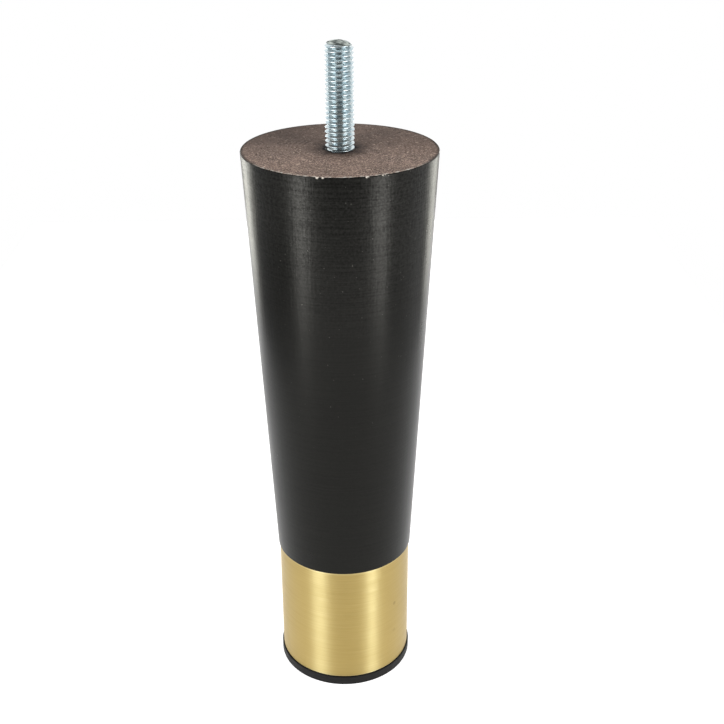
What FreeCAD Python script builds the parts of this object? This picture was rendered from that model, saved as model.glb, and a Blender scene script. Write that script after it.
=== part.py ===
import FreeCAD, Part
import os

# A turned, tapered furniture leg with a threaded stud, a metal ferrule and a screwed-on glide.
# Millimetres. Z points up the leg's axis and the origin is the centre of the glide's underside.

# Glide pad
PAD_THICKNESS = 3.0
PAD_OVERHANG = 0.45
PAD_LOWER_CHAMFER = 0.3
PAD_UPPER_CHAMFER = 0.2

# Ferrule, a straight tube
FERRULE_DIAMETER = 40.75
FERRULE_WALL = 1.2
FERRULE_HEIGHT = 40.0
FERRULE_EDGE_CHAMFER = 0.2
GLUE_LINE = 0.05

# Leg body, one turning with a cone above and a spigot below
TOP_DIAMETER = 54.0
CONE_FOOT_DIAMETER = 41.6
CONE_LENGTH = 125.6
TOP_RIM_CHAMFER = 0.2
FOOT_ARRIS_CHAMFER = 0.15
SPIGOT_END_CHAMFER = 0.8

# Hanger bolt: machine thread above, wood thread and point below.
# The free thread has its major diameter, the buried stretch its pitch diameter.
THREAD_DIAMETER = 8.0
THREAD_PITCH_DIAMETER = 7.2
THREAD_END_CHAMFER = 0.7
STUD_REACH = 28.25
THREAD_CLEAR_OF_WOOD = 0.4
THREAD_IN_WOOD = 14.0
TAIL_DIAMETER = 6.0
TAIL_LENGTH = 26.0
TAIL_POINT_LENGTH = 5.0
TAIL_POINT_DIAMETER = 1.0
STUD_BORE_MOUTH = 0.5
BORE_END_RELIEF = 2.0

# Glide screw, countersunk with a cross recess
SCREW_DIAMETER = 3.0
SCREW_LENGTH = 18.0
SCREW_HEAD_DIAMETER = 6.0
SCREW_HEAD_HEIGHT = 1.65
SCREW_POINT_LENGTH = 3.0
SCREW_POINT_DIAMETER = 0.6
SCREW_HEAD_INSET = 0.6
SCREW_PASSAGE = 0.15
CROSS_SPAN = 3.2
CROSS_WIDTH = 0.7
CROSS_DEPTH = 1.0

# Heights and radii that follow
FERRULE_BOTTOM = PAD_THICKNESS
CONE_BOTTOM = FERRULE_BOTTOM + FERRULE_HEIGHT
LEG_TOP = CONE_BOTTOM + CONE_LENGTH
STUD_TOP = LEG_TOP + STUD_REACH
SPIGOT_RADIUS = FERRULE_DIAMETER / 2 - FERRULE_WALL - GLUE_LINE
PAD_RADIUS = FERRULE_DIAMETER / 2 + PAD_OVERHANG
SAME = 1e-4


def point(x, y, z):
    """Return a point in millimetres."""
    return FreeCAD.Vector(x, y, z)


def turned(outline):
    """Spin an outline of (radius, height) corners round the leg's axis."""
    corners = [point(radius, 0, height) for radius, height in outline]
    profile = Part.Face(Part.makePolygon(corners + corners[:1]))
    return profile.revolve(point(0, 0, 0), point(0, 0, 1), 360)


def rims(shape, radius, height):
    """Return the circular edges with one radius at one height."""
    found = []
    for edge in shape.Edges:
        circle = edge.Curve
        if not isinstance(circle, Part.Circle):
            continue
        if abs(circle.Radius - radius) < SAME and abs(circle.Center.z - height) < SAME:
            found.append(edge)
    return found


def hanger_bolt_outline(end_relief=0.0):
    """Return the corners of the bolt, or of its deeper bore when there is a relief below the point."""
    thread = THREAD_DIAMETER / 2
    buried = THREAD_PITCH_DIAMETER / 2
    tail = TAIL_DIAMETER / 2
    entry = LEG_TOP + THREAD_CLEAR_OF_WOOD
    thread_bottom = LEG_TOP - THREAD_IN_WOOD
    step = buried - tail
    tail_bottom = thread_bottom - TAIL_LENGTH - end_relief
    point_top = tail_bottom + TAIL_POINT_LENGTH
    return [
        (0, STUD_TOP),
        (thread - THREAD_END_CHAMFER, STUD_TOP),
        (thread, STUD_TOP - THREAD_END_CHAMFER),
        (thread, entry),
        (buried, entry),
        (buried, thread_bottom + step),
        (tail, thread_bottom),
        (tail, point_top),
        (TAIL_POINT_DIAMETER / 2, tail_bottom),
        (0, tail_bottom),
    ]


def glide_screw_outline():
    """Return the corners of the screw, which the spigot's bore follows."""
    shank = SCREW_DIAMETER / 2
    tip = SCREW_HEAD_INSET + SCREW_LENGTH
    return [
        (0, SCREW_HEAD_INSET),
        (SCREW_HEAD_DIAMETER / 2, SCREW_HEAD_INSET),
        (shank, SCREW_HEAD_INSET + SCREW_HEAD_HEIGHT),
        (shank, tip - SCREW_POINT_LENGTH),
        (SCREW_POINT_DIAMETER / 2, tip),
        (0, tip),
    ]


def leg_body():
    """Turn the cone and its spigot, break both arrises and bore both ends."""
    top_radius = TOP_DIAMETER / 2
    foot_radius = CONE_FOOT_DIAMETER / 2
    body = turned([
        (0, FERRULE_BOTTOM),
        (SPIGOT_RADIUS - SPIGOT_END_CHAMFER, FERRULE_BOTTOM),
        (SPIGOT_RADIUS, FERRULE_BOTTOM + SPIGOT_END_CHAMFER),
        (SPIGOT_RADIUS, CONE_BOTTOM),
        (foot_radius, CONE_BOTTOM),
        (top_radius, LEG_TOP),
        (0, LEG_TOP),
    ])
    body = body.makeChamfer(TOP_RIM_CHAMFER, rims(body, top_radius, LEG_TOP))
    body = body.makeChamfer(FOOT_ARRIS_CHAMFER, rims(body, foot_radius, CONE_BOTTOM))
    body = body.cut(turned(hanger_bolt_outline(BORE_END_RELIEF)))
    body = body.cut(turned(glide_screw_outline()))
    return body.makeChamfer(STUD_BORE_MOUTH, rims(body, THREAD_PITCH_DIAMETER / 2, LEG_TOP))


def mounting_stud():
    """Turn the hanger bolt, with a chamfered end above and a pointed tail below."""
    return turned(hanger_bolt_outline())


def ferrule():
    """Cut the tube to length and break the two outer rims."""
    outer = FERRULE_DIAMETER / 2
    inner = outer - FERRULE_WALL
    base = point(0, 0, FERRULE_BOTTOM)
    tube = Part.makeCylinder(outer, FERRULE_HEIGHT, base)
    tube = tube.cut(Part.makeCylinder(inner, FERRULE_HEIGHT, base))
    edges = rims(tube, outer, FERRULE_BOTTOM) + rims(tube, outer, CONE_BOTTOM)
    return tube.makeChamfer(FERRULE_EDGE_CHAMFER, edges)


def glide_pad():
    """Mould the disc with broken edges and a countersunk hole for its screw."""
    head_radius = SCREW_HEAD_DIAMETER / 2
    shank_radius = SCREW_DIAMETER / 2
    pad = Part.makeCylinder(PAD_RADIUS, PAD_THICKNESS)
    pad = pad.makeChamfer(PAD_LOWER_CHAMFER, rims(pad, PAD_RADIUS, 0))
    pad = pad.makeChamfer(PAD_UPPER_CHAMFER, rims(pad, PAD_RADIUS, PAD_THICKNESS))
    access = Part.makeCylinder(head_radius + SCREW_PASSAGE, SCREW_HEAD_INSET)
    seat_base = point(0, 0, SCREW_HEAD_INSET)
    seat = Part.makeCone(head_radius, shank_radius, SCREW_HEAD_HEIGHT, seat_base)
    passage = Part.makeCylinder(shank_radius + SCREW_PASSAGE, PAD_THICKNESS)
    return pad.cut([access, seat, passage])


def glide_screw():
    """Turn the countersunk screw and press the cross recess into its head."""
    screw = turned(glide_screw_outline())
    long_side = CROSS_SPAN / 2
    short_side = CROSS_WIDTH / 2
    for half_x, half_y in ((long_side, short_side), (short_side, long_side)):
        corner = point(-half_x, -half_y, SCREW_HEAD_INSET)
        screw = screw.cut(Part.makeBox(2 * half_x, 2 * half_y, CROSS_DEPTH, corner))
    return screw


PIECES = {
    "leg_body": leg_body,
    "mounting_stud": mounting_stud,
    "ferrule": ferrule,
    "glide_pad": glide_pad,
    "glide_screw": glide_screw,
}

os.makedirs("parts", exist_ok=True)
for name, make in PIECES.items():
    shape = make()
    if shape.ShapeType != "Solid":
        shape = shape.Solids[0]
    shape.exportStep(f"parts/{name}.step")
    print(name, round(shape.Volume, 1), shape.BoundBox)
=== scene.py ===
import math
import random

import bmesh
import bpy
from mathutils import Matrix, Vector

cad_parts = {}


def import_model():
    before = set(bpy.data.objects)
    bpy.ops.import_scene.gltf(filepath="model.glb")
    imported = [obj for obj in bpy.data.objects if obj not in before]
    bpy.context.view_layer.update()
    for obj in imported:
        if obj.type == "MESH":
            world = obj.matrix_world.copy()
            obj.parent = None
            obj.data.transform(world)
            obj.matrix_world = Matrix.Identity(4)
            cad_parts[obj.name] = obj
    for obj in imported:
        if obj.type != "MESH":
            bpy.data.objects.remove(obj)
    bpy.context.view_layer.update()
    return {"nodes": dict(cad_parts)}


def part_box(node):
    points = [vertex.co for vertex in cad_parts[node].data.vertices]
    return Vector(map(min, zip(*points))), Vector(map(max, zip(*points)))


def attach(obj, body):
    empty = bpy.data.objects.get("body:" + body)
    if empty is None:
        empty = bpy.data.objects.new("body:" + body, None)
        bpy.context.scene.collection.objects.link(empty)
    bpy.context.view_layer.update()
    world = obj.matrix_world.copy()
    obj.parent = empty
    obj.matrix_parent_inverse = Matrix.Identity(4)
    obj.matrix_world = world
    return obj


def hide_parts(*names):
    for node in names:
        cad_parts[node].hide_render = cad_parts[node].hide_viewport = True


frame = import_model()

MM = 0.001


def rgb(red, green, blue):
    """A colour named as a screen shows it, from 0 to 255, in the scene's own light scale."""
    linear = []
    for level in (red, green, blue):
        share = level / 255
        if share <= 0.04045:
            linear.append(share / 12.92)
        else:
            linear.append(((share + 0.055) / 1.055) ** 2.4)
    return (*linear, 1.0)


# Places and sizes read from the frame
WOOD_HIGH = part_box("leg_body")[1]
STUD_LOW, STUD_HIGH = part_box("mounting_stud")
FERRULE_LOW, FERRULE_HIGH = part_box("ferrule")
TOP_RADIUS = WOOD_HIGH.x
LEG_TOP = WOOD_HIGH.z

# Chips on the top rim: two coordinates across the leg, and reach
CHIPS = [
    (-5.8 * MM, -26.4 * MM, 0.62 * MM),
    (-4.4 * MM, -26.6 * MM, 0.46 * MM),
    (6.9 * MM, -26.1 * MM, 0.7 * MM),
    (11.0 * MM, -24.6 * MM, 0.7 * MM),
    (26.6 * MM, -4.0 * MM, 1.2 * MM),
]

# Faint dark spots on the tube: place and strength
TUBE_SPOTS = [
    ((15.4 * MM, -13.2 * MM, 26.2 * MM), 0.35),
    ((15.4 * MM, -13.2 * MM, 15.7 * MM), 0.15),
]

# Tones of the end grain
STAIN_DARK = rgb(92, 77, 70)
STAIN_LIGHT = rgb(141, 118, 106)
FACING_MARK = rgb(160, 138, 125)
STAIN_CLOUD = rgb(70, 54, 47)
PORE = rgb(36, 27, 24)
FIBRE = rgb(208, 183, 168)
SPECK = rgb(216, 192, 172)
PIT = rgb(40, 29, 25)
# Painted shade on the back of the top
BACK_PAINTED_SHADE = rgb(58, 48, 45)
# Painted shade round the stud, and a painted shadow in the mouth of its bore
STUD_PAINTED_SHADE = rgb(52, 42, 39)
BORE_PAINTED_SHADOW = rgb(14, 11, 10)
RIM_STAIN = rgb(38, 33, 31)
WORN_ARRIS = rgb(222, 216, 206)

# Facing marks: radians for each metre of radius, so 1.2 mm from mark to mark
FACING_WAVES = 5200.0

# Tones of the lacquer; the darkest are given as shares of the light
COAT_DARK = (0.0027, 0.0027, 0.0025, 1.0)
COAT_LIGHT = (0.0038, 0.0038, 0.0034, 1.0)
COAT_GLOSS = (1.0, 0.985, 0.91, 1.0)
DUST = rgb(120, 118, 112)
BARE_WOOD = rgb(214, 206, 194)

# Tones of the metals and the plastic
ZINC_DARK = rgb(186, 203, 210)
ZINC_LIGHT = rgb(212, 220, 221)
# Painted shade in the thread's roots
ZINC_ROOT_SHADE = rgb(98, 116, 120)
SHEAR_DARK = rgb(70, 80, 78)
SHEAR_LIGHT = rgb(206, 214, 208)
SCREW_DARK = rgb(190, 192, 188)
SCREW_LIGHT = rgb(214, 214, 206)
BRASS_DARK = (0.374, 0.272, 0.09, 1.0)
BRASS_LIGHT = (0.43, 0.319, 0.118, 1.0)
# Painted highlight along the tube's two ends
BRASS_EDGE_HIGHLIGHT = (0.62, 0.5, 0.24, 1.0)
BRASS_SPOT = rgb(96, 76, 40)
PLASTIC_DARK = rgb(9, 9, 8)
PLASTIC_LIGHT = rgb(13, 12, 11)
# Painted shade along the pad's lower arris
PLASTIC_ARRIS_SHADE = rgb(2, 2, 2)

# Camera, in the 724-pixel frame of the photograph
FRAME_PX = 724
FOCAL_PX = 1143.3
SENSOR_MM = 36.0
CAMERA_PLACE = Vector((0.0, -302.97, 252.4)) * MM
CAMERA_YAW = math.radians(1.095)
CAMERA_PITCH = math.radians(26.055)
CAMERA_ROLL = math.radians(-0.174)

# Lit table and dim room
FLOOR_HALF_WIDTH = 0.205
FLOOR_FRONT = -0.33
FLOOR_BACK = 0.43
FLOOR_GAP = 0.1 * MM
FLOOR_TONE = (0.8, 0.8, 0.8, 1.0)
FLOOR_GLOW = 0.66
ROOM_GLOW = 0.15
WHITE = (1.0, 1.0, 1.0, 1.0)

# Heights and distances that the soft boxes share, in metres
FRONT_DISTANCE = 0.9
FRONT_TOP = 0.7
FRONT_GAP_TOP = 0.12
FRONT_GAP_BOTTOM = -0.09
FRONT_BOTTOM = -0.6
STUD_GLOW_TOP = 0.6
STUD_GLOW_BOTTOM = -0.1
SIDE_DISTANCE = 0.9
TIP_GLOW_TOP = 0.1
TIP_GLOW_BOTTOM = -0.08
SIDE_TOP = -0.08
LEFT_SIDE_BOTTOM = -0.25
RIGHT_SIDE_BOTTOM = -0.38
WALL_DISTANCE = 0.95
WALL_TOP = 0.8
WALL_WIDTH = 1.9
REAR_TOP = -0.06
REAR_SPLIT = -0.17
REAR_BOTTOM = -0.3
BACKDROP_DISTANCE = 1.25
BACKDROP_TOP = 3.0
BACKDROP_WIDTH = 4.2
HORIZON_TOP = 0.1
HORIZON_BOTTOM = -0.12

# Soft boxes that stand round the table, one row each: name, azimuth in degrees, distance,
# bottom, top, width and glow. Azimuth 0 is the camera's side and 90 the right.
LOW_FRONT_BOXES = [
    ("left_front_low", -48.0, FRONT_DISTANCE, FRONT_BOTTOM, FRONT_GAP_BOTTOM, 0.24, 12.2),
    ("right_front_low", 49.0, FRONT_DISTANCE, FRONT_BOTTOM, FRONT_GAP_BOTTOM, 0.23, 11.0),
]
HIGH_FRONT_BOXES = [
    ("left_front_high", -42.0, FRONT_DISTANCE, FRONT_GAP_TOP, FRONT_TOP, 0.26, 14.0),
    ("right_front_high", 45.0, FRONT_DISTANCE, FRONT_GAP_TOP, FRONT_TOP, 0.21, 15.0),
]
STUD_BOXES = [
    ("left_stud", -49.0, FRONT_DISTANCE, STUD_GLOW_BOTTOM, STUD_GLOW_TOP, 0.5, 3.1),
    ("right_stud", 49.0, FRONT_DISTANCE, STUD_GLOW_BOTTOM, STUD_GLOW_TOP, 0.5, 3.1),
    ("front_stud", 0.0, FRONT_DISTANCE, FRONT_BOTTOM, FRONT_TOP, 0.75, 0.08),
]
TUBE_BOXES = [
    ("left_tube", -42.0, FRONT_DISTANCE, FRONT_GAP_TOP, FRONT_TOP, 0.34, 18.3),
    ("right_tube", 45.0, FRONT_DISTANCE, FRONT_GAP_TOP, FRONT_TOP, 0.22, 24.6),
]
ROOM_BOXES = [
    ("left_tip", -138.0, SIDE_DISTANCE, TIP_GLOW_BOTTOM, TIP_GLOW_TOP, 0.5, 2.8),
    ("right_tip", 138.0, SIDE_DISTANCE, TIP_GLOW_BOTTOM, TIP_GLOW_TOP, 0.5, 2.0),
    ("horizon", 180.0, BACKDROP_DISTANCE, HORIZON_BOTTOM, HORIZON_TOP, BACKDROP_WIDTH, 2.4),
    ("backdrop", 180.0, BACKDROP_DISTANCE, HORIZON_TOP, BACKDROP_TOP, BACKDROP_WIDTH, 1.0),
    ("left_side", -90.0, SIDE_DISTANCE, LEFT_SIDE_BOTTOM, SIDE_TOP, 0.9, 0.62),
    ("right_side", 92.0, SIDE_DISTANCE, RIGHT_SIDE_BOTTOM, SIDE_TOP, 0.9, 0.97),
    ("left_wall", -70.0, WALL_DISTANCE, SIDE_TOP, WALL_TOP, WALL_WIDTH, 1.1),
    ("right_wall", 70.0, WALL_DISTANCE, SIDE_TOP, WALL_TOP, WALL_WIDTH, 1.05),
]
REAR_BOXES = [
    ("left_rear_upper", -140.0, SIDE_DISTANCE, REAR_SPLIT, REAR_TOP, 0.36, 5.2),
    ("left_rear_lower", -143.0, SIDE_DISTANCE, REAR_BOTTOM, REAR_SPLIT, 0.27, 4.6),
    ("right_rear_upper", 139.5, SIDE_DISTANCE, REAR_SPLIT, REAR_TOP, 0.36, 4.1),
    ("right_rear_lower", 141.0, SIDE_DISTANCE, REAR_BOTTOM, REAR_SPLIT, 0.25, 3.3),
]
OVERHEAD_PLACE = Vector((0.0, -0.55, 1.15))
OVERHEAD_SIZE = 1.0
OVERHEAD_GLOW = 0.3
TUBE_BOX_TINT = (0.86, 1.09, 1.72)
REAR_BOX_TINT = (1.0, 0.99, 0.9)

# Stud thread
THREAD_PITCH = 1.25 * MM
THREAD_RADIUS = 3.97 * MM
ROOT_RADIUS = 3.23 * MM
BURIED_RADIUS = 3.58 * MM
THREAD_IN_WOOD = 14.0 * MM
# Share of a turn by which the helix is turned round the bolt
THREAD_START = 0.95
THREAD_COLUMNS = 96
# Stations along one pitch, from root to root, and how far each stands up the ridge
RIDGE = [
    (0.000, 0.000),
    (0.050, 0.000),
    (0.060, 0.002),
    (0.069, 0.008),
    (0.077, 0.018),
    (0.083, 0.031),
    (0.412, 0.962),
    (0.419, 0.978),
    (0.429, 0.990),
    (0.440, 0.997),
    (0.452, 1.000),
    (0.500, 1.000),
    (0.536, 0.992),
    (0.569, 0.970),
    (0.598, 0.934),
    (0.620, 0.887),
    (0.900, 0.094),
    (0.918, 0.055),
    (0.942, 0.025),
    (0.970, 0.006),
]
# Cut end: sheared, so it falls away most on the right, less on the left and in front
END_FACE_RADIUS = 3.35 * MM
END_DROP_SIDES = 0.3 * MM
END_DROP_RIGHT = 0.55 * MM
END_DROP_FRONT = 0.3 * MM
END_UNEVEN = 0.04 * MM
END_SEED = 8
END_RINGS = (0.94, 0.82, 0.66, 0.5, 0.33, 0.16)
# Buried wood-thread tail, plain
TAIL_RADIUS = 2.98 * MM
TAIL_POINT = 5.0 * MM
TAIL_POINT_RADIUS = 0.48 * MM
# Vertices nearer than this are one vertex
WELD = 1e-7


def camera():
    """Put the camera where the outlines of the leg place it."""
    yaw, pitch, roll = CAMERA_YAW, CAMERA_PITCH, CAMERA_ROLL
    ahead = Vector((
        math.sin(yaw) * math.cos(pitch),
        math.cos(yaw) * math.cos(pitch),
        -math.sin(pitch),
    ))
    level = Vector((math.cos(yaw), -math.sin(yaw), 0.0))
    upright = level.cross(ahead)
    right = level * math.cos(roll) + upright * math.sin(roll)
    up = upright * math.cos(roll) - level * math.sin(roll)
    data = bpy.data.cameras.new("camera")
    data.sensor_width = SENSOR_MM
    data.lens = FOCAL_PX / FRAME_PX * SENSOR_MM
    data.clip_start = 0.01
    data.clip_end = 100.0
    view = bpy.data.objects.new("camera", data)
    turn = Matrix((right, up, -ahead)).transposed().to_4x4()
    view.matrix_world = Matrix.Translation(CAMERA_PLACE) @ turn
    bpy.context.collection.objects.link(view)
    bpy.context.scene.camera = view


# A Mix node's colour sockets, which follow its number and vector ones
MIX_FIRST = 6
MIX_SECOND = 7
MIX_RESULT = 2


class Shader:
    """A node material under construction: short calls that add and join nodes."""

    def __init__(self, name):
        self.material = bpy.data.materials.new(name)
        self.material.use_nodes = True
        self.tree = self.material.node_tree
        self.surface = self.tree.nodes["Principled BSDF"]
        self.place = self.tree.nodes.new("ShaderNodeTexCoord").outputs["Object"]

    def node(self, kind, inputs=None, **settings):
        """Add one node; inputs maps a socket's name or number to a value or another socket."""
        made = self.tree.nodes.new("ShaderNode" + kind)
        for key, value in settings.items():
            setattr(made, key, value)
        for key, value in (inputs or {}).items():
            self.feed(made.inputs[key], value)
        return made

    def feed(self, socket, value):
        """Join or set one input socket."""
        if isinstance(value, bpy.types.NodeSocket):
            self.tree.links.new(value, socket)
        elif isinstance(value, bpy.types.Node):
            self.tree.links.new(value.outputs[0], socket)
        else:
            socket.default_value = value

    def set(self, **inputs):
        """Set or join the surface's inputs; underscores stand for spaces."""
        for key, value in inputs.items():
            self.feed(self.surface.inputs[key.replace("_", " ")], value)

    def math(self, operation, first, second=0.0, clamp=False):
        """Combine two numbers."""
        return self.node("Math", {0: first, 1: second}, operation=operation, use_clamp=clamp)

    def scaled(self, scale):
        """The object's own coordinates in metres, times a factor for each axis."""
        return self.node("Mapping", {"Vector": self.place, "Scale": scale})

    def along(self, axis):
        """The object's own coordinate along one axis, in metres."""
        return self.node("SeparateXYZ", {"Vector": self.place}).outputs[axis]

    def from_axis(self):
        """Distance from the leg's axis, in metres."""
        flat = self.scaled((1.0, 1.0, 0.0))
        return self.node("VectorMath", {0: flat}, operation="LENGTH").outputs["Value"]

    def from_point(self, point):
        """Distance from a point, in metres."""
        inputs = {0: self.place, 1: point}
        return self.node("VectorMath", inputs, operation="DISTANCE").outputs["Value"]

    def noise(self, scale, detail=2.0, roughness=0.5, vector=None):
        """Smooth noise between 0 and 1; scale is in waves per metre."""
        place = vector if vector else self.place
        return self.node("TexNoise", {
            "Vector": place,
            "Scale": scale,
            "Detail": detail,
            "Roughness": roughness,
        })

    def ramp(self, value, low, high, start=0.0, end=1.0, smooth=False):
        """Map a number from one range to another, held at both ends."""
        kind = "SMOOTHSTEP" if smooth else "LINEAR"
        return self.node("MapRange", {
            "Value": value,
            "From Min": low,
            "From Max": high,
            "To Min": start,
            "To Max": end,
        }, interpolation_type=kind)

    def mix(self, amount, first, second):
        """Blend two colours."""
        made = self.node("Mix", {"Factor": amount}, data_type="RGBA")
        self.feed(made.inputs[MIX_FIRST], first)
        self.feed(made.inputs[MIX_SECOND], second)
        return made.outputs[MIX_RESULT]

    def bump(self, height, depth, strength=1.0, under=None):
        """Raise the surface by a height between 0 and 1 times a depth in metres."""
        inputs = {"Height": height, "Distance": depth, "Strength": strength}
        if under:
            inputs["Normal"] = under
        return self.node("Bump", inputs)


def end_grain(s, radius, grit, fine):
    """Colour of the bare top: stained brown, with facing marks, pores and pale fibres, and
    painted shade at the back and round the stud.
    """
    x = s.along("X")
    y = s.along("Y")
    mottle = s.noise(170.0, 4.0, 0.6)
    patch = s.noise(480.0, 3.0, 0.6)

    # The facing marks are faint rings round the stud, here and there
    ring_place = s.math("ADD", radius, s.math("MULTIPLY", mottle, 2.0 * MM))
    rings = s.math("SINE", s.math("MULTIPLY", ring_place, FACING_WAVES))
    ring_strength = s.ramp(s.noise(130.0, 2.0), 0.48, 0.62, 0.0, 0.6)
    ring_tone = s.math("MULTIPLY", rings, ring_strength)
    tone = s.mix(s.ramp(mottle, 0.3, 0.72), STAIN_DARK, STAIN_LIGHT)
    tone = s.mix(s.ramp(ring_tone, -0.4, 0.4, 0.0, 0.6), tone, FACING_MARK)
    tone = s.mix(s.ramp(patch, 0.35, 0.65, 0.0, 0.34), tone, STAIN_CLOUD)

    # Pores, fibres, specks and pits
    pores = s.ramp(grit, 0.35, 0.48, 1.0, 0.0)
    pores = s.math("MULTIPLY", pores, s.ramp(patch, 0.3, 0.7, 0.55, 1.0))
    tone = s.mix(pores, tone, PORE)
    front_half = s.ramp(y, 6.0 * MM, -12.0 * MM)
    fibres = s.math("MULTIPLY", s.ramp(fine, 0.54, 0.64), s.ramp(front_half, 0.0, 1.0, 0.3, 0.95))
    fibres = s.math("MULTIPLY", fibres, s.ramp(patch, 0.35, 0.65, 1.0, 0.6))
    tone = s.mix(fibres, tone, FIBRE)
    specks = s.ramp(s.noise(1250.0, 2.0, 0.7), 0.6, 0.67, 0.0, 0.7)
    tone = s.mix(specks, tone, SPECK)
    pits = s.ramp(s.noise(1150.0, 2.0, 0.7), 0.39, 0.32, 0.0, 0.75)
    tone = s.mix(pits, tone, PIT)

    # Painted shade: the top is painted darker at the back, most of all on the left, where less
    # light falls on it
    back = s.ramp(y, -14.0 * MM, 12.0 * MM, 0.0, 0.34, smooth=True)
    left = s.ramp(x, 4.0 * MM, -14.0 * MM, 0.0, 0.22)
    back_left = s.math("MULTIPLY", left, s.ramp(y, -4.0 * MM, 10.0 * MM))
    tone = s.mix(s.math("ADD", back, back_left), tone, BACK_PAINTED_SHADE)

    # Painted shade surrounds the stud, with a painted shadow blackest in the mouth of its bore
    wander = s.math("ADD", radius, s.math("MULTIPLY", s.noise(320.0, 3.0), 5.0 * MM))
    halo = s.ramp(wander, 6.2 * MM, 13.5 * MM, 0.9, 0.0, smooth=True)
    tone = s.mix(halo, tone, STUD_PAINTED_SHADE)
    mouth = s.ramp(wander, 6.6 * MM, 7.7 * MM, 0.95, 0.0, smooth=True)
    tone = s.mix(mouth, tone, BORE_PAINTED_SHADOW)

    # The stain is dark along the rim, but in front the arris is rubbed through in a fine line
    front = s.ramp(y, -12.0 * MM, -20.0 * MM)
    rim = s.ramp(radius, TOP_RADIUS - 1.1 * MM, TOP_RADIUS - 0.3 * MM, 0.0, 0.75)
    rim = s.math("MULTIPLY", rim, s.ramp(front, 0.0, 1.0, 1.0, 0.0))
    tone = s.mix(rim, tone, RIM_STAIN)
    arris = s.ramp(radius, TOP_RADIUS - 0.8 * MM, TOP_RADIUS - 0.5 * MM)
    worn = s.ramp(s.noise(700.0, 3.0, 0.75), 0.45, 0.6, 0.0, 0.85)
    worn = s.math("MULTIPLY", s.math("MULTIPLY", arris, front), worn)
    return s.mix(worn, tone, WORN_ARRIS)


def lacquer(s, height, strokes):
    """Colour of the lacquer: nearly black, dusty near the top, chipped in places on the rim."""
    coat = s.mix(s.ramp(strokes, 0.35, 0.65), COAT_DARK, COAT_LIGHT)
    dust = s.ramp(s.noise(1900.0, 0.0, vector=s.scaled((1.0, 1.0, 0.8))), 0.84, 0.855)
    dust = s.math("MULTIPLY", dust, s.ramp(height, 80.0 * MM, 130.0 * MM, 0.0, 0.22))
    coat = s.mix(dust, coat, DUST)
    near_rim = s.ramp(height, LEG_TOP - 0.7 * MM, LEG_TOP - 0.1 * MM)
    chance = s.noise(1300.0, 3.0, 0.6)
    broken = s.ramp(chance, 0.70, 0.73, 0.0, 0.7)
    for x, y, reach in CHIPS:
        beyond = s.ramp(s.from_point((x, y, LEG_TOP)), reach * 0.6, reach)
        chip = s.math("SUBTRACT", s.ramp(chance, 0.44, 0.52), beyond)
        broken = s.math("MAXIMUM", broken, chip)
    chips = s.math("MULTIPLY", near_rim, broken, clamp=True)
    return s.mix(chips, coat, BARE_WOOD)


def lacquered_wood():
    """Black satin lacquer on the turned side, bare stained end grain on the flat top."""
    s = Shader("black_lacquered_wood")
    height = s.along("Z")
    top = s.ramp(height, LEG_TOP - 0.06 * MM, LEG_TOP - 0.03 * MM)
    fine = s.noise(2700.0, 2.0, 0.6)
    grit = s.noise(2000.0, 3.0, 0.75)
    strokes = s.noise(1.0, 3.0, 0.6, vector=s.scaled((50.0, 50.0, 2400.0)))
    side_tone = lacquer(s, height, strokes)
    top_tone = end_grain(s, s.from_axis(), grit, fine)
    s.set(Base_Color=s.mix(top, side_tone, top_tone))
    satin = s.ramp(s.noise(60.0, 3.0), 0.3, 0.7, 0.27, 0.31)
    s.set(Roughness=s.math("ADD", satin, s.math("MULTIPLY", top, 0.5)))

    # The lacquer's gloss is broken up by a fine weave of brush marks, most near the top
    speckle = s.ramp(s.noise(1500.0, 2.0, 0.6), 0.3, 0.7, -1.0, 1.0)
    weave = s.math("ADD", speckle, s.ramp(strokes, 0.3, 0.7, -0.6, 0.6))
    weave_depth = s.ramp(height, 120.0 * MM, LEG_TOP - 5.0 * MM, 0.008, 0.078)
    even = s.ramp(height, 100.0 * MM, 155.0 * MM, 0.13, 0.18)
    gloss = s.math("ADD", s.math("MULTIPLY", weave, weave_depth), even, clamp=True)
    s.set(Specular_IOR_Level=gloss, Specular_Tint=COAT_GLOSS)

    # Brush strokes round the cone, grain along it, and a rough end
    grain = s.noise(1.0, 3.0, 0.65, vector=s.scaled((1500.0, 1500.0, 60.0)))
    grain_depth = s.ramp(height, 100.0 * MM, LEG_TOP - 10.0 * MM, 0.15, 1.0)
    brushed = s.bump(strokes, 0.012 * MM)
    side = s.bump(s.math("MULTIPLY", grain, grain_depth), 0.05 * MM, under=brushed)
    rough_end = s.math("MULTIPLY", s.math("ADD", grit, fine), top)
    s.set(Normal=s.bump(rough_end, 0.12 * MM, under=side))
    return s.material


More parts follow.
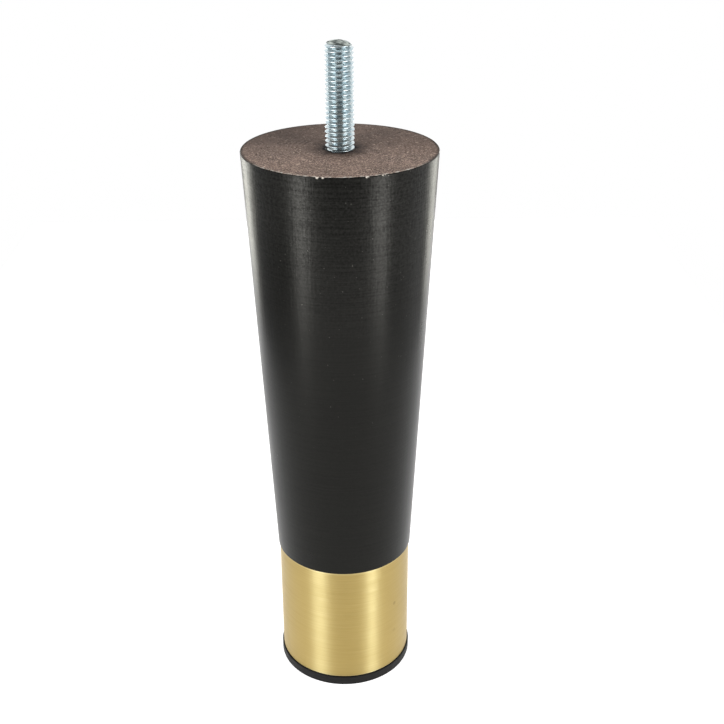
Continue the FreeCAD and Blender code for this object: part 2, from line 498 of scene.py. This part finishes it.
def zinc_plate():
    """Bright zinc plate with a faint blue cast, painted shade in the thread's roots, duller and
    uneven on the cut end.
    """
    s = Shader("zinc_plated_steel")
    height = s.along("Z")
    facing = s.node("SeparateXYZ", {"Vector": s.node("NewGeometry").outputs["Normal"]})
    upward = s.ramp(facing.outputs["Z"], 0.9, 0.96)
    high = s.ramp(height, STUD_HIGH.z - 0.9 * MM, STUD_HIGH.z - 0.7 * MM)
    cut = s.math("MULTIPLY", high, upward)
    plate = s.mix(s.ramp(s.noise(900.0, 3.0), 0.35, 0.65), ZINC_DARK, ZINC_LIGHT)
    sheared = s.mix(s.ramp(s.noise(620.0, 3.0, 0.6), 0.42, 0.58), SHEAR_DARK, SHEAR_LIGHT)
    # The roots are painted darker, as painted shade down in the thread's grooves, more so higher
    # up
    root = s.ramp(s.from_axis(), ROOT_RADIUS, ROOT_RADIUS + 0.12 * MM, 1.0, 0.0)
    root_shade_depth = s.ramp(height, LEG_TOP + 4.0 * MM, LEG_TOP + 14.0 * MM, 0.3, 0.75)
    plate = s.mix(s.math("MULTIPLY", root, root_shade_depth), plate, ZINC_ROOT_SHADE)
    s.set(Base_Color=s.mix(cut, plate, sheared), Metallic=1.0)
    polish = s.ramp(s.noise(1500.0, 3.0), 0.3, 0.7, 0.21, 0.27)
    s.set(Roughness=s.math("ADD", polish, s.math("MULTIPLY", cut, 0.4)))
    ripple = s.math("MULTIPLY", s.noise(1100.0, 3.0, 0.6), cut)
    plated = s.bump(s.noise(4000.0, 2.0), 0.002 * MM)
    s.set(Normal=s.bump(ripple, 0.16 * MM, under=plated))
    return s.material


def screw_steel():
    """The glide screw's bright plate, a little scuffed."""
    s = Shader("screw_steel")
    blotch = s.ramp(s.noise(1200.0, 3.0), 0.35, 0.65)
    s.set(Base_Color=s.mix(blotch, SCREW_DARK, SCREW_LIGHT), Metallic=1.0)
    s.set(Roughness=s.ramp(s.noise(2500.0, 3.0), 0.3, 0.7, 0.22, 0.4))
    return s.material


def brushed_brass():
    """Satin brass, brushed round the tube, with faint dark spots and a painted highlight along
    both ends.
    """
    s = Shader("brushed_brass")
    brush = s.noise(1.0, 3.0, 0.7, vector=s.scaled((60.0, 60.0, 5200.0)))
    brass = s.mix(s.ramp(brush, 0.3, 0.7), BRASS_DARK, BRASS_LIGHT)
    for place, strength in TUBE_SPOTS:
        spot = s.ramp(s.from_point(place), 0.3 * MM, 0.9 * MM, strength, 0.0, smooth=True)
        brass = s.mix(spot, brass, BRASS_SPOT)
    # Both ends of the tube are painted paler in a fine line, a painted highlight on their edges
    height = s.along("Z")
    foot, head = FERRULE_LOW.z, FERRULE_HIGH.z
    foot_highlight = s.ramp(height, foot + 0.55 * MM, foot + 0.25 * MM, 0.0, 0.5)
    head_highlight = s.ramp(height, head - 0.8 * MM, head - 0.55 * MM, 0.0, 0.35)
    brass = s.mix(s.math("ADD", foot_highlight, head_highlight), brass, BRASS_EDGE_HIGHLIGHT)
    s.set(Base_Color=brass, Metallic=1.0)
    bands = s.noise(1.0, 2.0, vector=s.scaled((40.0, 40.0, 900.0)))
    s.set(Roughness=s.ramp(bands, 0.3, 0.7, 0.33, 0.38))
    around = s.node("Tangent", direction_type="RADIAL", axis="Z")
    s.set(Anisotropic=0.9, Anisotropic_Rotation=0.25, Tangent=around)
    s.set(Normal=s.bump(brush, 0.011 * MM))
    return s.material


def black_plastic():
    """Moulded black plastic with a fine spark texture, and painted shade that makes it blackest
    along its lower arris.
    """
    s = Shader("black_plastic")
    black = s.mix(s.ramp(s.noise(400.0, 3.0), 0.35, 0.65), PLASTIC_DARK, PLASTIC_LIGHT)
    # Painted shade: the lowest part of the pad is painted near black, with less gloss
    unshaded = s.ramp(s.along("Z"), 0.3 * MM, 0.7 * MM)
    s.set(Base_Color=s.mix(unshaded, PLASTIC_ARRIS_SHADE, black))
    s.set(Specular_IOR_Level=s.ramp(unshaded, 0.0, 1.0, 0.03, 0.18))
    s.set(Roughness=s.ramp(s.noise(900.0, 3.0), 0.3, 0.7, 0.5, 0.62))
    s.set(Normal=s.bump(s.noise(5000.0, 2.0), 0.02 * MM))
    return s.material


def dress(name, material):
    """Give a piece of the frame its material."""
    piece = frame["nodes"][name]
    piece.data.materials.clear()
    piece.data.materials.append(material)


def ridge_height(phase):
    """How far the thread stands up between root 0 and crest 1 at a share of one pitch."""
    phase %= 1.0
    stations = RIDGE + [(1.0, 0.0)]
    for (start, low), (end, high) in zip(stations, stations[1:]):
        if phase <= end:
            return low + (high - low) * (phase - start) / (end - start)
    return 0.0


def end_height(x, y, chance):
    """Height of the bolt's cut end over a place: it falls away to the sides and the front."""
    across, along = x / END_FACE_RADIUS, y / END_FACE_RADIUS
    drop = END_DROP_SIDES * across * across + END_DROP_RIGHT * max(0.0, across)
    drop += END_DROP_FRONT * max(0.0, -along) ** 2
    return STUD_HIGH.z - drop - END_UNEVEN * chance.random()


def join_rings(mesh, lower, upper):
    """Bridge two closed rings of the same count, the second one above or inside the first."""
    count = len(lower)
    for here in range(count):
        there = (here + 1) % count
        mesh.faces.new((lower[here], lower[there], upper[there], upper[here]))


def ring(mesh, radius, height):
    """Add a level ring of vertices, one for each column of the thread."""
    corners = []
    for column in range(THREAD_COLUMNS):
        angle = 2 * math.pi * column / THREAD_COLUMNS
        place = (radius * math.cos(angle), radius * math.sin(angle), height)
        corners.append(mesh.verts.new(place))
    return corners


def close_ring(mesh, corners, centre, upwards):
    """Fan a ring to its centre."""
    middle = mesh.verts.new(centre)
    count = len(corners)
    for here in range(count):
        there = (here + 1) % count
        pair = (corners[here], corners[there]) if upwards else (corners[there], corners[here])
        mesh.faces.new((*pair, middle))


def thread_columns(mesh, bottom, chance):
    """Stand one line of vertices for each column of the thread, from its foot to the cut end."""
    turns = int((STUD_HIGH.z - bottom) / THREAD_PITCH) + 3
    columns = []
    for column in range(THREAD_COLUMNS):
        share = column / THREAD_COLUMNS
        angle = 2 * math.pi * share
        across, along = math.cos(angle), math.sin(angle)
        top = end_height(END_FACE_RADIUS * across, END_FACE_RADIUS * along, chance)
        line = []
        for turn in range(-1, turns):
            for station, _ in RIDGE:
                height = bottom + (turn + station + share + THREAD_START) * THREAD_PITCH
                height = max(bottom, min(top, height))
                rise = ridge_height((height - bottom) / THREAD_PITCH - share - THREAD_START)
                radius = ROOT_RADIUS + (THREAD_RADIUS - ROOT_RADIUS) * rise
                widest = END_FACE_RADIUS + STUD_HIGH.z - height
                if height < LEG_TOP:
                    widest = BURIED_RADIUS
                radius = min(radius, widest)
                line.append(mesh.verts.new((radius * across, radius * along, height)))
        columns.append(line)
    return columns


def join_columns(mesh, columns):
    """Bridge the columns all round; the last one meets the first one pitch further along."""
    for column, here in enumerate(columns):
        shift = len(RIDGE) if column == THREAD_COLUMNS - 1 else 0
        there = columns[(column + 1) % THREAD_COLUMNS]
        for row in range(len(here) - 1 - shift):
            mesh.faces.new((here[row], there[row + shift], there[row + 1 + shift], here[row + 1]))


def cut_end(mesh, brim, chance):
    """Close the bolt's upper end with an uneven sheared face."""
    edge = brim
    for reach in END_RINGS:
        inner = []
        for corner in brim:
            x, y = corner.co.x * reach, corner.co.y * reach
            inner.append(mesh.verts.new((x, y, end_height(x, y, chance))))
        join_rings(mesh, edge, inner)
        edge = inner
    close_ring(mesh, edge, (0.0, 0.0, end_height(0.0, 0.0, chance)), True)


def buried_tail(mesh, foot, bottom):
    """Carry the bolt on below its machine thread, down to the point."""
    tail_bottom = STUD_LOW.z
    shoulder = ring(mesh, TAIL_RADIUS, bottom)
    join_rings(mesh, shoulder, foot)
    neck = ring(mesh, TAIL_RADIUS, tail_bottom + TAIL_POINT)
    join_rings(mesh, neck, shoulder)
    tip = ring(mesh, TAIL_POINT_RADIUS, tail_bottom)
    join_rings(mesh, tip, neck)
    close_ring(mesh, tip, (0.0, 0.0, tail_bottom), False)


def threaded_stud(material):
    """Model the bolt's true helical thread, its cut end and its buried tail."""
    chance = random.Random(END_SEED)
    mesh = bmesh.new()
    bottom = LEG_TOP - THREAD_IN_WOOD
    columns = thread_columns(mesh, bottom, chance)
    join_columns(mesh, columns)
    cut_end(mesh, [line[-1] for line in columns], chance)
    buried_tail(mesh, [line[0] for line in columns], bottom)
    bmesh.ops.remove_doubles(mesh, verts=mesh.verts, dist=WELD)
    bmesh.ops.dissolve_degenerate(mesh, edges=mesh.edges, dist=WELD / 10)
    bmesh.ops.recalc_face_normals(mesh, faces=mesh.faces)
    for face in mesh.faces:
        face.smooth = True
    data = bpy.data.meshes.new("threaded_stud")
    mesh.to_mesh(data)
    mesh.free()
    piece = bpy.data.objects.new("threaded_stud", data)
    bpy.context.collection.objects.link(piece)
    data.materials.append(material)
    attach(piece, "root")
    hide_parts("mounting_stud")
    return piece


def floor():
    """A plain pale lit table."""
    mesh = bmesh.new()
    corners = []
    for x, y in ((-1, FLOOR_FRONT), (1, FLOOR_FRONT), (1, FLOOR_BACK), (-1, FLOOR_BACK)):
        corners.append(mesh.verts.new((x * FLOOR_HALF_WIDTH, y, 0.0)))
    mesh.faces.new(corners)
    data = bpy.data.meshes.new("floor")
    mesh.to_mesh(data)
    mesh.free()
    sheet = bpy.data.objects.new("floor", data)
    sheet.location.z = -FLOOR_GAP
    bpy.context.collection.objects.link(sheet)
    s = Shader("floor_paper")
    s.set(Base_Color=FLOOR_TONE, Roughness=0.9, Specular_IOR_Level=0.0)
    s.set(Emission_Color=WHITE, Emission_Strength=FLOOR_GLOW)
    data.materials.append(s.material)


def soft_box(name, centre, facing, width, height, glow):
    """One rectangular light of an even glow, centred at a place and facing another."""
    data = bpy.data.lights.new(name, "AREA")
    data.shape = "RECTANGLE"
    data.size = width
    data.size_y = height
    data.energy = glow * math.pi * width * height
    box = bpy.data.objects.new(name, data)
    box.location = centre
    box.rotation_mode = "QUATERNION"
    box.rotation_quaternion = (centre - facing).to_track_quat("Z", "Y")
    box.visible_camera = False
    bpy.context.collection.objects.link(box)
    return box


def stand(rows, tint=(1.0, 1.0, 1.0)):
    """Stand a list of soft boxes round the table, all of one tint, facing the leg's axis."""
    boxes = []
    for name, azimuth, distance, bottom, top, width, glow in rows:
        turn = math.radians(azimuth)
        height = (bottom + top) / 2
        centre = Vector((math.sin(turn) * distance, -math.cos(turn) * distance, height))
        box = soft_box(name, centre, Vector((0.0, 0.0, height)), width, top - bottom, glow)
        box.data.color = tint
        boxes.append(box)
    return boxes


def link_lights(pieces, boxes, state):
    """Flag some boxes off some pieces, or keep them to those pieces alone."""
    flagged = bpy.data.collections.new("flagged")
    for piece in pieces:
        flagged.objects.link(piece)
    for entry in flagged.collection_objects:
        entry.light_linking.link_state = state
    for box in boxes:
        box.light_linking.receiver_collection = flagged


def world():
    """Light the room dimly, and show the camera plain white beyond the table."""
    made = bpy.data.worlds.new("studio")
    bpy.context.scene.world = made
    made.use_nodes = True
    nodes = made.node_tree.nodes
    links = made.node_tree.links
    room = nodes["Background"]
    room.inputs["Color"].default_value = WHITE
    room.inputs["Strength"].default_value = ROOM_GLOW
    white = nodes.new("ShaderNodeBackground")
    white.inputs["Strength"].default_value = 1.0
    white.inputs["Color"].default_value = WHITE
    path = nodes.new("ShaderNodeLightPath")
    pick = nodes.new("ShaderNodeMixShader")
    links.new(path.outputs["Is Camera Ray"], pick.inputs[0])
    links.new(room.outputs[0], pick.inputs[1])
    links.new(white.outputs[0], pick.inputs[2])
    links.new(pick.outputs[0], nodes["World Output"].inputs["Surface"])


def lights(stud):
    """Plain soft studio light; some boxes are kept off the stud or tube, or light it alone."""
    world()
    tube = frame["nodes"]["ferrule"]
    link_lights([stud], stand(LOW_FRONT_BOXES), "EXCLUDE")
    link_lights([stud, tube], stand(HIGH_FRONT_BOXES), "EXCLUDE")
    link_lights([stud], stand(STUD_BOXES), "INCLUDE")
    link_lights([tube], stand(TUBE_BOXES, TUBE_BOX_TINT), "INCLUDE")
    stand(ROOM_BOXES)
    top_face = Vector((0.0, 0.0, LEG_TOP))
    soft_box("overhead", OVERHEAD_PLACE, top_face, OVERHEAD_SIZE, OVERHEAD_SIZE, OVERHEAD_GLOW)
    stand(REAR_BOXES, REAR_BOX_TINT)


camera()
floor()
dress("leg_body", lacquered_wood())
dress("ferrule", brushed_brass())
dress("glide_pad", black_plastic())
dress("glide_screw", screw_steel())
lights(threaded_stud(zinc_plate()))

bpy.context.scene.view_settings.view_transform = "Standard"
